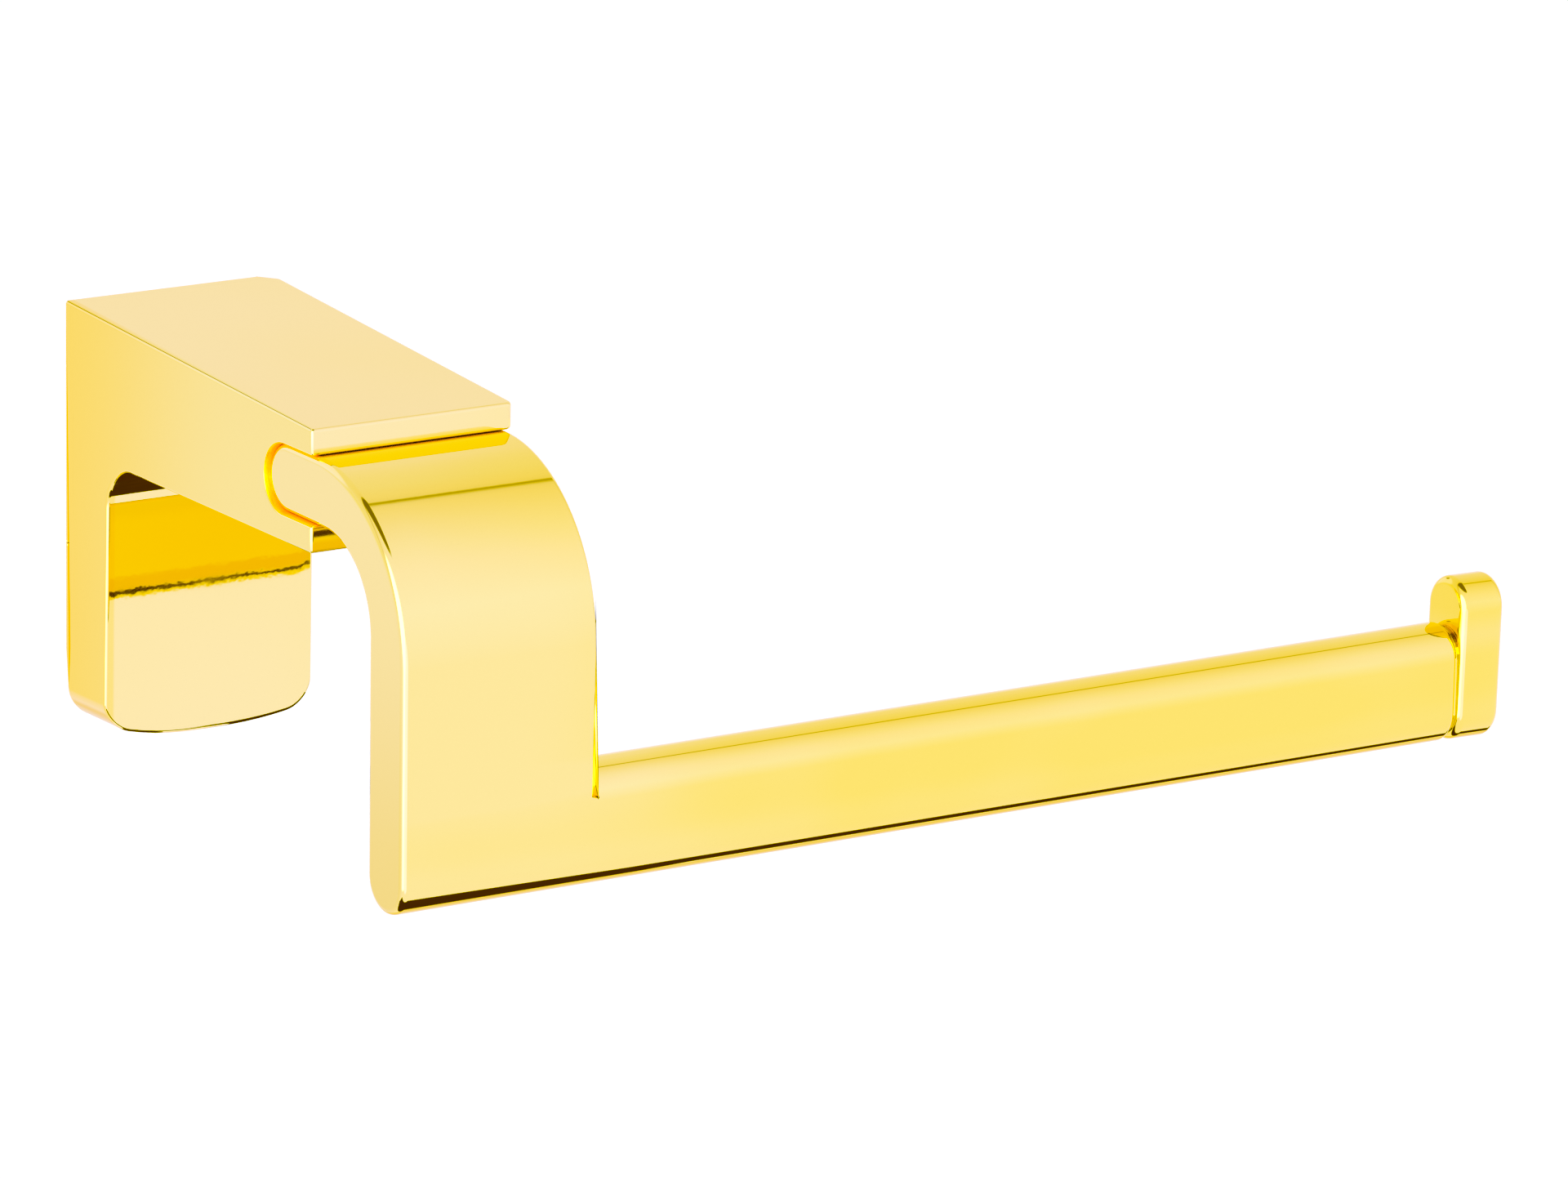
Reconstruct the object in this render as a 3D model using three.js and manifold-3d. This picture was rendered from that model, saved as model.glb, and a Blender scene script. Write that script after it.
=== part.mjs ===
// Open-ended toilet paper holder in gold-plated brass.
// A cast bracket hooks over a hidden wall plate. A flat strap sits in the slot at the bracket's
// front, bends down and turns into a long bar, and a raised stop closes the bar's free end.
// Millimetres. X runs along the bar, Y points into the wall (the room is at -Y), Z is up.
// The origin lies on the wall, in the middle of the wall plate's back face.

import * as THREE from "three";
import { mergeVertices } from "three/addons/utils/BufferGeometryUtils.js";
import Module from "manifold-3d";

// Bracket: an upright wall flange with an arm that reaches into the room.
const bracketHeight = 52.4;
const bracketWidthAtWall = 28;
const bracketWidthAtLip = 26.5;
const bracketDepth = 58.6;
const armHeightAtWall = 18;
const flangeThickness = 10.7;
const footCornerRadius = 4.2;
const footBow = 0.5;
const undersideFilletRadius = 5.5;
const rearCornerRadius = 2.6;
const lipThickness = 3.05;
const slotDepth = 11.1;
const castingWall = 3;
const slotBulkhead = 7.5;

// Strap and bar: one forging, as thick in the strap as in the bar.
const strapThickness = 8.2;
const strapInset = 0.45;
const strapRunBeforeBend = 2.1;
const bendRadius = 18.7;
const armDrop = 50.85;
const barHeight = 15;
const freeBarLength = 124.8;
const strapEdgeRadius = 0.6;
const barEndRadius = 1.1;

// End stop: a taller slab of the bar's own section, leaning outwards.
const stopThickness = 6.3;
const stopDepth = 7.8;
const stopRise = 5.6;
const stopEdgeRadius = 1.1;
const stopLeanDegrees = 1.2;

// Wall plate: hangs the bracket by an undercut top edge; slots take the wall screws.
const wallPlateThickness = 4;
const hookUndercut = 2.2;
const hookLedgeThickness = 1.8;
const hookLedgeWidth = 16;
const hookHeadroom = 2.6;
const wedgeBevel = 2.4;
const wallScrewSpacing = 24;
const wallScrewSlotWidth = 4.6;
const wallScrewSlotLength = 8;
const wallScrewHeadWidth = 8.8;
const wallScrewHeadDepth = 1.6;

// Fasteners.
const setScrewRadius = 2;
const setScrewLength = 7.5;
const setScrewRecess = 0.5;
const setScrewKeyAcrossFlats = 2;
const setScrewKeyDepth = 2.4;
const armScrewRadius = 2;
const armScrewLength = 16;
const armScrewSpacing = 12;
const armScrewHeadRadius = 3.5;
const armScrewHeadHeight = 4;
const armScrewKeyAcrossFlats = 3;
const armScrewKeyDepth = 2;
const washerRadius = 4;
const washerThickness = 1;
const washerSplit = 0.8;
const studRadius = 2;
const studDepthInBar = 7;
const studDepthInStop = 3.6;
const studBelowBarMiddle = 2.5;
const dowelRadius = 1.25;
const dowelDepthInBar = 5;
const dowelDepthInStop = 3.2;
const dowelAboveBarMiddle = 3.4;

// Clearances between pieces that seat on or in each other.
const slotClearance = 0.35;
const slotRearClearance = 0.7;
const faceClearance = 0.3;
const boreClearance = 0.3;
const washerRoom = 0.5;

// Fineness: straight steps in each drawn arc, and around each round piece.
const arcSteps = 16;
const roundSteps = 24;
const cutMargin = 2;

// Heights and depths that follow from the sizes above.
const bracketTop = bracketHeight / 2;
const bracketFoot = -bracketHeight / 2;
const armUnderside = bracketTop - armHeightAtWall;
const slotHeight = strapThickness + 2 * slotClearance;
const slotFloor = armUnderside + lipThickness;
const slotMiddle = slotFloor + slotHeight / 2;
const slotRoof = slotFloor + slotHeight;
const lipTop = slotRoof + lipThickness;
const slotRear = -(bracketDepth - slotDepth);
const strapWidth = bracketWidthAtLip - 2 * strapInset;
const strapRear = slotRear - slotRearClearance;
const strapTop = slotMiddle + strapThickness / 2;
const strapBottom = strapTop - strapThickness;
const strapFront = -(bracketDepth + strapRunBeforeBend + bendRadius);
const armFoot = strapTop - armDrop;
const barMiddle = armFoot + barHeight / 2;
const barCentreY = strapFront + strapThickness / 2;
const barEnd = strapWidth / 2 + freeBarLength;
const wellEnd = slotRear + slotBulkhead;
const recessDepth = flangeThickness - castingWall;
const recessFoot = bracketFoot + castingWall;
const roofFall = (bracketTop - lipTop) / bracketDepth;
const recessTop = bracketTop - castingWall - roofFall * recessDepth;
const setScrewY = -(wallPlateThickness + setScrewRadius * 0.4);
const setScrewFoot = bracketFoot + setScrewRecess;
const setScrewTip = setScrewFoot + setScrewLength;
const slantGap = faceClearance * Math.SQRT2;
const washerSeat = wellEnd + faceClearance;
const screwShoulderY = washerSeat + washerThickness + faceClearance;
const wallPlateTop = recessTop - hookHeadroom;
const wallPlateFoot = setScrewTip + slantGap - wedgeBevel + wallPlateThickness + setScrewY;

const wasm = await Module();
wasm.setup();

// Turns a closed three.js geometry into a solid that can be cut and joined.
function solidOf(geometry) {
  const bare = geometry.index ? geometry.toNonIndexed() : geometry.clone();
  bare.deleteAttribute("normal");
  bare.deleteAttribute("uv");
  const merged = mergeVertices(bare, 1e-4);
  return new wasm.Manifold(
    new wasm.Mesh({
      numProp: 3,
      vertProperties: new Float32Array(merged.attributes.position.array),
      triVerts: new Uint32Array(merged.index.array),
    }),
  );
}

// Turns a solid back into a flat-shaded three.js geometry.
function geometryOf(solid) {
  const mesh = solid.getMesh();
  const indexed = new THREE.BufferGeometry();
  indexed.setAttribute("position", new THREE.BufferAttribute(mesh.vertProperties, 3));
  indexed.setIndex(new THREE.BufferAttribute(mesh.triVerts, 1));
  const flat = indexed.toNonIndexed();
  flat.computeVertexNormals();
  return flat;
}

// Extrusion settings; a bevel rounds the two end outlines and keeps the outline's own size.
function extrusion(shape, depth, edgeRadius = 0) {
  const geometry = new THREE.ExtrudeGeometry(shape, {
    depth: depth - 2 * edgeRadius,
    curveSegments: arcSteps,
    bevelEnabled: edgeRadius > 0,
    bevelThickness: edgeRadius,
    bevelSize: edgeRadius,
    bevelOffset: -edgeRadius,
    bevelSegments: 3,
  });
  return geometry.translate(0, 0, edgeRadius);
}

// Side outlines are drawn as (y, z) and extruded along +X from x.
function alongX(shape, x, depth, edgeRadius = 0) {
  const basis = new THREE.Matrix4().makeBasis(
    new THREE.Vector3(0, 1, 0),
    new THREE.Vector3(0, 0, 1),
    new THREE.Vector3(1, 0, 0),
  );
  return extrusion(shape, depth, edgeRadius).applyMatrix4(basis).translate(x, 0, 0);
}

// Front outlines are drawn as (x, z) and extruded towards the room, from y towards -Y.
function towardsRoom(shape, y, depth) {
  const basis = new THREE.Matrix4().makeBasis(
    new THREE.Vector3(1, 0, 0),
    new THREE.Vector3(0, 0, 1),
    new THREE.Vector3(0, -1, 0),
  );
  return extrusion(shape, depth).applyMatrix4(basis).translate(0, y, 0);
}

// A round rod of one radius between two depths along an axis, through a point.
function rod(axis, radius, from, to, at) {
  const geometry = new THREE.CylinderGeometry(radius, radius, to - from, roundSteps);
  geometry.translate(0, (from + to) / 2, 0);
  if (axis === "x") geometry.rotateZ(-Math.PI / 2);
  if (axis === "z") geometry.rotateX(Math.PI / 2);
  return geometry.translate(at.x ?? 0, at.y ?? 0, at.z ?? 0);
}

// A hexagonal key socket, cut upwards along +Y from the origin.
function keySocket(acrossFlats, depth) {
  const cornerRadius = acrossFlats / Math.sqrt(3);
  const geometry = new THREE.CylinderGeometry(cornerRadius, cornerRadius, depth + cutMargin, 6);
  return geometry.translate(0, (depth - cutMargin) / 2, 0);
}

// An upright slab with full-round top and bottom, drawn as (y, z).
function roundEndedSlab(centreY, foot, thickness, height) {
  const r = thickness / 2;
  const shape = new THREE.Shape();
  shape.absarc(centreY, foot + r, r, Math.PI, 2 * Math.PI, false);
  shape.absarc(centreY, foot + height - r, r, 0, Math.PI, false);
  shape.closePath();
  return shape;
}

// A slot with round ends lying along X, drawn as (x, z).
function roundEndedSlot(centreZ, width, length) {
  const r = width / 2;
  const reach = length / 2 - r;
  const shape = new THREE.Shape();
  shape.absarc(reach, centreZ, r, -Math.PI / 2, Math.PI / 2, false);
  shape.absarc(-reach, centreZ, r, Math.PI / 2, 1.5 * Math.PI, false);
  shape.closePath();
  return shape;
}

// A rectangle with rounded lower corners and a foot that bows down in the middle, as (x, z).
function roundFootedPanel(width, foot, top, radius) {
  const half = width / 2;
  const cornerFoot = foot + footBow;
  const cornerZ = cornerFoot + radius;
  const pull = foot - footBow / 3;
  const shape = new THREE.Shape();
  shape.moveTo(half, top);
  shape.lineTo(-half, top);
  shape.absarc(-half + radius, cornerZ, radius, Math.PI, 1.5 * Math.PI, false);
  shape.bezierCurveTo(-half / 3, pull, half / 3, pull, half - radius, cornerFoot);
  shape.absarc(half - radius, cornerZ, radius, 1.5 * Math.PI, 2 * Math.PI, false);
  shape.closePath();
  return shape;
}

// Bracket outline from the side: a flange, and an arm whose top falls towards the lip.
function bracketSide() {
  const shape = new THREE.Shape();
  const fillet = undersideFilletRadius;
  shape.moveTo(0, bracketTop);
  shape.lineTo(-bracketDepth, lipTop);
  shape.lineTo(-bracketDepth, armUnderside);
  shape.absarc(-flangeThickness - fillet, armUnderside - fillet, fillet, Math.PI / 2, 0, true);
  shape.lineTo(-flangeThickness, bracketFoot);
  shape.lineTo(0, bracketFoot);
  shape.closePath();
  return shape;
}

// Bracket outline from above: it narrows towards the lip, and one rear corner is eased.
function bracketPlan() {
  const r = rearCornerRadius;
  const shape = new THREE.Shape();
  shape.moveTo(-bracketWidthAtWall / 2, 0);
  shape.lineTo(-bracketWidthAtLip / 2, -bracketDepth);
  shape.lineTo(bracketWidthAtLip / 2, -bracketDepth);
  shape.lineTo(bracketWidthAtWall / 2, -r);
  shape.absarc(bracketWidthAtWall / 2 - r, -r, r, 0, Math.PI / 2, false);
  shape.closePath();
  return shape;
}

// The slot that holds the strap, open to the room and round at its rear.
function slotSide() {
  const r = slotHeight / 2;
  const shape = new THREE.Shape();
  shape.moveTo(-bracketDepth - cutMargin, slotFloor);
  shape.lineTo(slotRear - r, slotFloor);
  shape.absarc(slotRear - r, slotMiddle, r, -Math.PI / 2, Math.PI / 2, false);
  shape.lineTo(-bracketDepth - cutMargin, slotRoof);
  shape.closePath();
  return shape;
}

// Ledge inside the bracket that drops behind the wall plate's undercut top edge.
function hookLedge() {
  const undercutFoot = wallPlateTop - hookUndercut + slantGap;
  const shape = new THREE.Shape();
  shape.moveTo(0, undercutFoot);
  shape.lineTo(0, recessTop + castingWall / 2);
  shape.lineTo(-hookLedgeThickness, recessTop + castingWall / 2);
  shape.lineTo(-hookLedgeThickness, undercutFoot + hookLedgeThickness);
  shape.closePath();
  return alongX(shape, -hookLedgeWidth / 2, hookLedgeWidth);
}

function wallBracket() {
  const cutWidth = bracketWidthAtWall + 2 * cutMargin;
  const plan = extrusion(bracketPlan(), bracketHeight + 2 * cutMargin);
  plan.translate(0, 0, bracketFoot - cutMargin);
  const panelTop = Math.max(bracketTop, lipTop) + cutMargin;
  const front = roundFootedPanel(bracketWidthAtWall, bracketFoot, panelTop, footCornerRadius);
  let body = solidOf(alongX(bracketSide(), -cutWidth / 2, cutWidth))
    .intersect(solidOf(plan))
    .intersect(solidOf(towardsRoom(front, cutMargin, bracketDepth + 2 * cutMargin)));

  body = body.subtract(solidOf(alongX(slotSide(), -cutWidth / 2, cutWidth)));

  const recess = roundFootedPanel(
    bracketWidthAtWall - 2 * castingWall,
    recessFoot,
    recessTop,
    Math.max(footCornerRadius - castingWall, 0.5),
  );
  body = body.subtract(solidOf(towardsRoom(recess, cutMargin, recessDepth + cutMargin)));

  const wellWidth = armScrewSpacing + 2 * (washerRadius + washerRoom);
  const wellHeight = 2 * (washerRadius + washerRoom);
  const well = new THREE.BoxGeometry(wellWidth, cutMargin - wellEnd, wellHeight);
  well.translate(0, (cutMargin + wellEnd) / 2, slotMiddle);
  body = body.subtract(solidOf(well)).add(solidOf(hookLedge()));

  const keyHole = rod(
    "z",
    setScrewRadius + boreClearance,
    bracketFoot - cutMargin,
    recessFoot + cutMargin,
    { y: setScrewY },
  );
  body = body.subtract(solidOf(keyHole));
  for (const x of [-armScrewSpacing / 2, armScrewSpacing / 2]) {
    const hole = rod(
      "y",
      armScrewRadius + boreClearance,
      slotRear - slotHeight / 2,
      wellEnd + cutMargin,
      { x, z: slotMiddle },
    );
    body = body.subtract(solidOf(hole));
  }
  return geometryOf(body);
}

function wallPlate() {
  const profile = new THREE.Shape();
  profile.moveTo(0, wallPlateFoot);
  profile.lineTo(0, wallPlateTop - hookUndercut);
  profile.lineTo(-hookUndercut, wallPlateTop);
  profile.lineTo(-wallPlateThickness, wallPlateTop);
  profile.lineTo(-wallPlateThickness, wallPlateFoot + wedgeBevel);
  profile.lineTo(-wallPlateThickness + wedgeBevel, wallPlateFoot);
  profile.closePath();
  const width = bracketWidthAtWall - 2 * castingWall - 2 * faceClearance;
  let body = solidOf(alongX(profile, -width / 2, width));
  for (const z of [-wallScrewSpacing / 2, wallScrewSpacing / 2]) {
    const shank = roundEndedSlot(z, wallScrewSlotWidth, wallScrewSlotLength);
    const headLength = wallScrewSlotLength + wallScrewHeadWidth - wallScrewSlotWidth;
    const head = roundEndedSlot(z, wallScrewHeadWidth, headLength);
    const headStart = -wallPlateThickness + wallScrewHeadDepth;
    body = body
      .subtract(solidOf(towardsRoom(shank, cutMargin, wallPlateThickness + 2 * cutMargin)))
      .subtract(solidOf(towardsRoom(head, headStart, wallScrewHeadDepth + cutMargin)));
  }
  return geometryOf(body);
}

// Cone-pointed set screw, standing on its key end at the origin and pointing up +Y.
function setScrew() {
  const profile = [
    new THREE.Vector2(0, 0),
    new THREE.Vector2(setScrewRadius, 0),
    new THREE.Vector2(setScrewRadius, setScrewLength - setScrewRadius),
    new THREE.Vector2(0, setScrewLength),
  ];
  const body = solidOf(new THREE.LatheGeometry(profile, roundSteps));
  return geometryOf(body.subtract(solidOf(keySocket(setScrewKeyAcrossFlats, setScrewKeyDepth))));
}

// Socket cap screw, standing on its head at the origin and pointing up +Y.
function armScrew() {
  const shoulder = armScrewHeadHeight;
  const profile = [
    new THREE.Vector2(0, 0),
    new THREE.Vector2(armScrewHeadRadius, 0),
    new THREE.Vector2(armScrewHeadRadius, shoulder),
    new THREE.Vector2(armScrewRadius, shoulder),
    new THREE.Vector2(armScrewRadius, shoulder + armScrewLength),
    new THREE.Vector2(0, shoulder + armScrewLength),
  ];
  const body = solidOf(new THREE.LatheGeometry(profile, roundSteps));
  return geometryOf(body.subtract(solidOf(keySocket(armScrewKeyAcrossFlats, armScrewKeyDepth))));
}

// Split lock washer, lying on the origin with its axis along +Y.
function lockWasher() {
  const inner = armScrewRadius + boreClearance;
  const profile = [
    new THREE.Vector2(inner, 0),
    new THREE.Vector2(washerRadius, 0),
    new THREE.Vector2(washerRadius, washerThickness),
    new THREE.Vector2(inner, washerThickness),
    new THREE.Vector2(inner, 0),
  ];
  const split = new THREE.BoxGeometry(washerSplit, 3 * washerThickness, 2 * washerRadius);
  split.translate(0, washerThickness / 2, washerRadius);
  return geometryOf(solidOf(new THREE.LatheGeometry(profile, roundSteps)).subtract(solidOf(split)));
}

// Strap outline from the side: round rear end, quarter bend, straight drop, round foot.
function strapSide() {
  const r = strapThickness / 2;
  const bendY = strapFront + bendRadius;
  const bendZ = strapTop - bendRadius;
  const shape = new THREE.Shape();
  shape.absarc(strapRear - r, strapTop - r, r, -Math.PI / 2, Math.PI / 2, false);
  shape.absarc(bendY, bendZ, bendRadius, Math.PI / 2, Math.PI, false);
  shape.absarc(barCentreY, armFoot + r, r, Math.PI, 2 * Math.PI, false);
  shape.absarc(bendY, bendZ, bendRadius - strapThickness, Math.PI, Math.PI / 2, true);
  shape.lineTo(strapRear - r, strapBottom);
  shape.closePath();
  return shape;
}

function holderArm() {
  const strap = alongX(strapSide(), -strapWidth / 2, strapWidth, strapEdgeRadius);
  const barSection = roundEndedSlab(barCentreY, armFoot, strapThickness, barHeight);
  let body = solidOf(strap).add(solidOf(alongX(barSection, 0, barEnd, barEndRadius)));

  for (const x of [-armScrewSpacing / 2, armScrewSpacing / 2]) {
    const tapped = rod(
      "y",
      armScrewRadius + boreClearance,
      screwShoulderY - armScrewLength - boreClearance,
      strapRear + cutMargin,
      { x, z: slotMiddle },
    );
    body = body.subtract(solidOf(tapped));
  }
  body = body.subtract(solidOf(studBore(barEnd - studDepthInBar, barEnd)));
  body = body.subtract(solidOf(dowelBore(barEnd - dowelDepthInBar, barEnd)));
  return geometryOf(body);
}

// Blind bores for the stud and the dowel, opened past their piece's own face.
function studBore(bottom, mouth) {
  const at = { y: barCentreY, z: barMiddle - studBelowBarMiddle };
  const reach = Math.sign(mouth - bottom) * cutMargin;
  const ends = [bottom - Math.sign(reach) * boreClearance, mouth + reach].sort((a, b) => a - b);
  return rod("x", studRadius + boreClearance, ends[0], ends[1], at);
}

function dowelBore(bottom, mouth) {
  const at = { y: barCentreY, z: barMiddle + dowelAboveBarMiddle };
  const reach = Math.sign(mouth - bottom) * cutMargin;
  const ends = [bottom - Math.sign(reach) * boreClearance, mouth + reach].sort((a, b) => a - b);
  return rod("x", dowelRadius + boreClearance, ends[0], ends[1], at);
}

// The stop is made upright against the bar's end, then leans outwards about its own foot.
const stopFace = barEnd + faceClearance;

function endStop() {
  const section = roundEndedSlab(
    strapFront + stopDepth / 2,
    armFoot,
    stopDepth,
    barHeight + stopRise,
  );
  const body = solidOf(alongX(section, stopFace, stopThickness, stopEdgeRadius))
    .subtract(solidOf(studBore(stopFace + studDepthInStop, stopFace)))
    .subtract(solidOf(dowelBore(stopFace + dowelDepthInStop, stopFace)));
  return geometryOf(body).translate(-stopFace, 0, -armFoot);
}

function material(color, roughness) {
  return new THREE.MeshStandardMaterial({ color, metalness: 1, roughness });
}

function piece(name, geometry, color, roughness) {
  const mesh = new THREE.Mesh(geometry, material(color, roughness));
  mesh.name = name;
  return mesh;
}

const gold = 0xf0c95a;
const zincSteel = 0xb9bcc0;
const blackSteel = 0x3b3d40;
const stainless = 0xc9cbcd;

const holder = new THREE.Group();

holder.add(piece("wall_bracket", wallBracket(), gold, 0.12));
holder.add(piece("wall_plate", wallPlate(), zincSteel, 0.4));

const keyScrew = piece("set_screw", setScrew(), stainless, 0.3);
keyScrew.rotation.x = Math.PI / 2;
keyScrew.position.set(0, setScrewY, setScrewFoot);
holder.add(keyScrew);

holder.add(piece("holder_arm", holderArm(), gold, 0.12));

// Each arm screw stands in the well on a split washer and reaches through to the strap.
const sides = { left: -armScrewSpacing / 2, right: armScrewSpacing / 2 };
for (const [side, x] of Object.entries(sides)) {
  const screw = piece("arm_screw_" + side, armScrew(), blackSteel, 0.45);
  screw.rotation.x = Math.PI;
  screw.position.set(x, screwShoulderY + armScrewHeadHeight, slotMiddle);
  const washer = piece("arm_washer_" + side, lockWasher(), stainless, 0.35);
  washer.position.set(x, washerSeat, slotMiddle);
  holder.add(screw, washer);
}

const stop = piece("end_stop", endStop(), gold, 0.12);
stop.rotation.y = THREE.MathUtils.degToRad(stopLeanDegrees);
stop.position.set(stopFace, 0, armFoot);
holder.add(stop);

const stud = rod("x", studRadius, barEnd - studDepthInBar, stopFace + studDepthInStop, {
  y: barCentreY,
  z: barMiddle - studBelowBarMiddle,
});
holder.add(piece("end_stop_stud", stud, stainless, 0.35));

const dowel = rod("x", dowelRadius, barEnd - dowelDepthInBar, stopFace + dowelDepthInStop, {
  y: barCentreY,
  z: barMiddle + dowelAboveBarMiddle,
});
holder.add(piece("end_stop_dowel", dowel, stainless, 0.3));

export default holder;
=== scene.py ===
# %% [markdown]
# # A gold-plated toilet paper holder in Blender
#
# This notebook dresses a finished construction model. The construction says where everything
# is and how it moves; here each piece gets its true surface: smooth arcs, broken edges and a
# polished gold finish that has something worth reflecting around it.
#
# The first step loads the construction as a fixed frame. Every place below is measured from it.

# %% Load the frame
import math

import bmesh
import bpy
from mathutils import Matrix, Vector


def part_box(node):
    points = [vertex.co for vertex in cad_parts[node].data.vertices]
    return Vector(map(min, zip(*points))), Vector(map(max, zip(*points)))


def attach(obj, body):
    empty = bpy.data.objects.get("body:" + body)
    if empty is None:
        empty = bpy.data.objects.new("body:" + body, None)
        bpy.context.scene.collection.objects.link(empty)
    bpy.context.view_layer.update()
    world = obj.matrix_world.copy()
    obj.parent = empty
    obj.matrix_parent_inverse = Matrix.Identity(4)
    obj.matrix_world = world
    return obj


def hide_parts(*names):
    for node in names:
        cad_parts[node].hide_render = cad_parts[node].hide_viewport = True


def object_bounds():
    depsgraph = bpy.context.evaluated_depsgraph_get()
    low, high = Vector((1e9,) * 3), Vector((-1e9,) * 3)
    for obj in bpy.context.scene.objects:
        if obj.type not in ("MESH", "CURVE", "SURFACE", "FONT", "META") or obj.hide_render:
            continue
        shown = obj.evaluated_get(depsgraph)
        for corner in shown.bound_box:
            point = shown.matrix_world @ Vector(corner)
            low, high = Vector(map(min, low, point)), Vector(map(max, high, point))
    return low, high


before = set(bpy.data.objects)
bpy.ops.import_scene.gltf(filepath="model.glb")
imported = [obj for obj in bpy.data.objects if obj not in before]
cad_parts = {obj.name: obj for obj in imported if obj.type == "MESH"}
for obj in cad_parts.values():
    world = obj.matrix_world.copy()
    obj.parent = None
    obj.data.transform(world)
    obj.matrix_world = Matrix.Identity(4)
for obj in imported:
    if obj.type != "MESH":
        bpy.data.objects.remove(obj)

cad_low, cad_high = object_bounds()
print("construction box, mm:", [round(1000 * s, 1) for s in cad_high - cad_low])

# %% [markdown]
# ## The camera
#
# A long lens from a little over a metre away keeps the bar's edges almost parallel, as a
# catalogue photographer would. The camera stands to the left of the holder and a little above
# it. It is placed by the direction it looks in, then backed away from the middle of the object,
# and slid a few millimetres sideways and down to set the framing.

# %% Camera
MM = 0.001

look_azimuth = math.radians(32.8)
look_down = math.radians(15.24)
camera_roll = math.radians(1.04)
camera_distance = 1153.7 * MM
slide_left = 1.23 * MM
slide_down = 8.08 * MM

looking = Vector((
    math.sin(look_azimuth) * math.cos(look_down),
    math.cos(look_azimuth) * math.cos(look_down),
    -math.sin(look_down),
))
level_right = Vector((math.cos(look_azimuth), -math.sin(look_azimuth), 0))
level_up = level_right.cross(looking)
right = math.cos(camera_roll) * level_right + math.sin(camera_roll) * level_up
up = math.cos(camera_roll) * level_up - math.sin(camera_roll) * level_right

middle = (cad_low + cad_high) / 2
stand = middle - camera_distance * looking - slide_left * right - slide_down * up
turned = Matrix((right, up, -looking)).transposed()

camera_data = bpy.data.cameras.new("camera")
camera_data.sensor_width = 36
camera_data.lens = 216.8
camera_data.clip_end = 20
camera = bpy.data.objects.new("camera", camera_data)
camera.matrix_world = Matrix.Translation(stand) @ turned.to_4x4()
bpy.context.scene.collection.objects.link(camera)
bpy.context.scene.camera = camera
print("camera stands at, mm:", [round(c / MM) for c in stand])

# %% [markdown]
# ## Helpers for modelling
#
# Every gold piece starts as a flat outline with a handful of corners. The outline is pulled
# into a block, and the block's edges are rounded one group at a time, from the largest radius
# to the smallest. That is how a pattern maker would work, and it keeps each face either flat
# or a true arc, which a mirror finish needs: any wobble in the mesh would show at once.
#
# The first helpers find the edges and faces of a block by where they lie, and pull faces out.

# %% Helpers that find and pull
AXIS = {"x": 0, "y": 1, "z": 2}
WELD = 1e-6


def verts_in(geom):
    return [g for g in geom if isinstance(g, bmesh.types.BMVert)]


def edges_in(geom):
    return [g for g in geom if isinstance(g, bmesh.types.BMEdge)]


def faces_in(geom):
    return [g for g in geom if isinstance(g, bmesh.types.BMFace)]


def lies_at(element, places):
    """True if every corner of an edge or face lies at the given coordinates."""
    return all(
        abs(v.co[AXIS[axis]] - place) < WELD
        for v in element.verts
        for axis, place in places.items()
    )


def edges_at(bm, **places):
    return [e for e in bm.edges if lies_at(e, places)]


def faces_at(bm, **places):
    return [f for f in bm.faces if lies_at(f, places)]


def edges_along_x(bm):
    return [e for e in bm.edges if abs(e.verts[0].co.x - e.verts[1].co.x) > MM]


def pull(bm, faces, travel):
    """Extrudes faces along a vector; their edges go too, or the old faces would stay inside."""
    edges = {e for f in faces for e in f.edges}
    made = bmesh.ops.extrude_face_region(bm, geom=[*faces, *edges])["geom"]
    bmesh.ops.translate(bm, vec=travel, verts=verts_in(made))
    return faces_in(made)


def rectangle(low_y, high_y, low_z, high_z):
    return [(low_y, low_z), (low_y, high_z), (high_y, high_z), (high_y, low_z)]


def block_along_x(outline, start, end):
    """Pulls an outline of (y, z) corners into a block between two places along X."""
    bm = bmesh.new()
    side = bm.faces.new([bm.verts.new((start, y, z)) for y, z in outline])
    pull(bm, [side], (end - start, 0, 0))
    bmesh.ops.recalc_face_normals(bm, faces=bm.faces)
    return bm


# %% [markdown]
# The next ones cut and round. The last one turns the finished mesh into an object, ties it to
# the body that carries it and hides the parts of the construction that it stands for.

# %% Helpers that cut, round and finish
SHARP_ANGLE = math.radians(20)


def cut_faces(bm, faces, **places):
    """Cuts only these faces along planes across the axes."""
    for axis, place in places.items():
        point, normal = Vector((0, 0, 0)), Vector((0, 0, 0))
        point[AXIS[axis]] = place
        normal[AXIS[axis]] = 1
        geom = {part for f in faces for part in (f, *f.edges, *f.verts)}
        made = bmesh.ops.bisect_plane(bm, geom=list(geom), plane_co=point, plane_no=normal)
        faces = faces_in(made["geom"])


def round_edges(bm, edges, radius, steps):
    """Rounds edges to circular arcs and welds arcs that meet in the middle of a face."""
    bmesh.ops.bevel(
        bm, geom=edges, offset=radius, segments=steps, profile=0.5,
        affect="EDGES", material=-1, clamp_overlap=False,
    )
    bmesh.ops.remove_doubles(bm, verts=bm.verts, dist=WELD)


def sharp_edges(bm):
    return [
        e for e in bm.edges
        if len(e.link_faces) == 2 and e.calc_face_angle() > SHARP_ANGLE
    ]


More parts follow.
